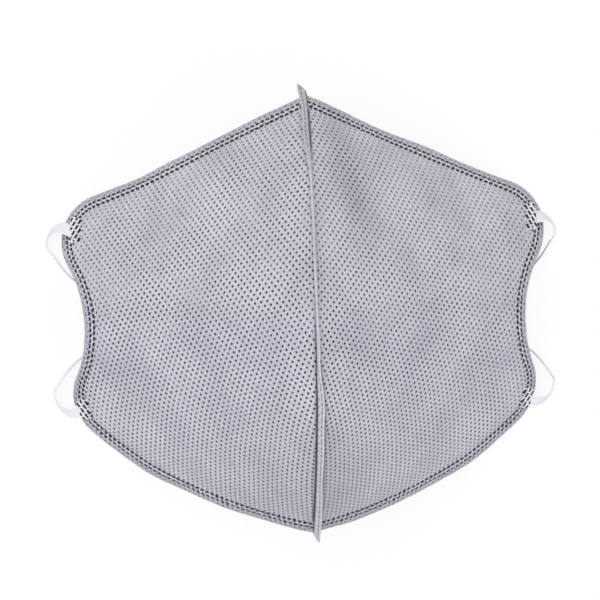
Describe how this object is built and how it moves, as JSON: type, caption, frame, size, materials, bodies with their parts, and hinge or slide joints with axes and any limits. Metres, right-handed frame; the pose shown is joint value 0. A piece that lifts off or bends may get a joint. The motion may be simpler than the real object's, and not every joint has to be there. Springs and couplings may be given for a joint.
{
  "type": "disposable dust mask",
  "caption": "Cupped fold-flat fabric dust mask: two embossed four-layer halves joined by a standing centre seam, with fused rims and flat elastic ear loops welded at the corners.",
  "frame": {"origin": "on the surface that the mask lies on, under the middle of its length and width", "axes": "+X from the mask's left half to its right half as seen from the front, +Y up to the nose edge, +Z out of the front of the mask"},
  "size_m": [0.1552, 0.1358, 0.0845],
  "materials": {
    "outer_cover": "matt embossed non-woven",
    "carbon": "matt felt",
    "filter": "matt fine non-woven",
    "lining": "matt soft non-woven",
    "edge_weld": "fused non-woven, slightly glossy",
    "band_weld": "fused elastic",
    "elastic": "knitted flat elastic"
  },
  "bodies": {
    "centre_seam": {"centre_seam": "edge_weld"},
    "left_half": {"outer_cover_left": "outer_cover", "carbon_layer_left": "carbon", "filter_layer_left": "filter", "inner_lining_left": "lining", "edge_weld_left": "edge_weld", "upper_band_weld_left": "band_weld", "lower_band_weld_left": "band_weld", "upper_band_end_left": "elastic", "lower_band_end_left": "elastic"},
    "right_half": {"outer_cover_right": "outer_cover", "carbon_layer_right": "carbon", "filter_layer_right": "filter", "inner_lining_right": "lining", "edge_weld_right": "edge_weld", "upper_band_weld_right": "band_weld", "lower_band_weld_right": "band_weld", "upper_band_end_right": "elastic", "lower_band_end_right": "elastic"},
    "left_ear_loop": {"ear_loop_left": "elastic"},
    "right_ear_loop": {"ear_loop_right": "elastic"}
  },
  "joints": [
    {"name": "right_fold", "type": "hinge", "parent": "centre_seam", "child": "right_half", "pos_m": [0, -0.06545, 0.0348], "axis": [0, 0.997, 0.0775], "range_deg": [0, 25]},
    {"name": "left_fold", "type": "hinge", "parent": "centre_seam", "child": "left_half", "pos_m": [0, -0.06545, 0.0348], "axis": [0, -0.997, -0.0775], "range_deg": [0, 25]},
    {"name": "right_loop_swing", "type": "hinge", "parent": "right_half", "child": "right_ear_loop", "pos_m": [0.075, 0, 0.00245], "axis": [0, -1, 0], "range_deg": [0, 180]},
    {"name": "left_loop_swing", "type": "hinge", "parent": "left_half", "child": "left_ear_loop", "pos_m": [-0.075, 0, 0.00245], "axis": [0, 1, 0], "range_deg": [0, 180]}
  ],
  "couplings": [
    {"joint": "left_fold", "follows": "right_fold", "ratio": 1}
  ]
}
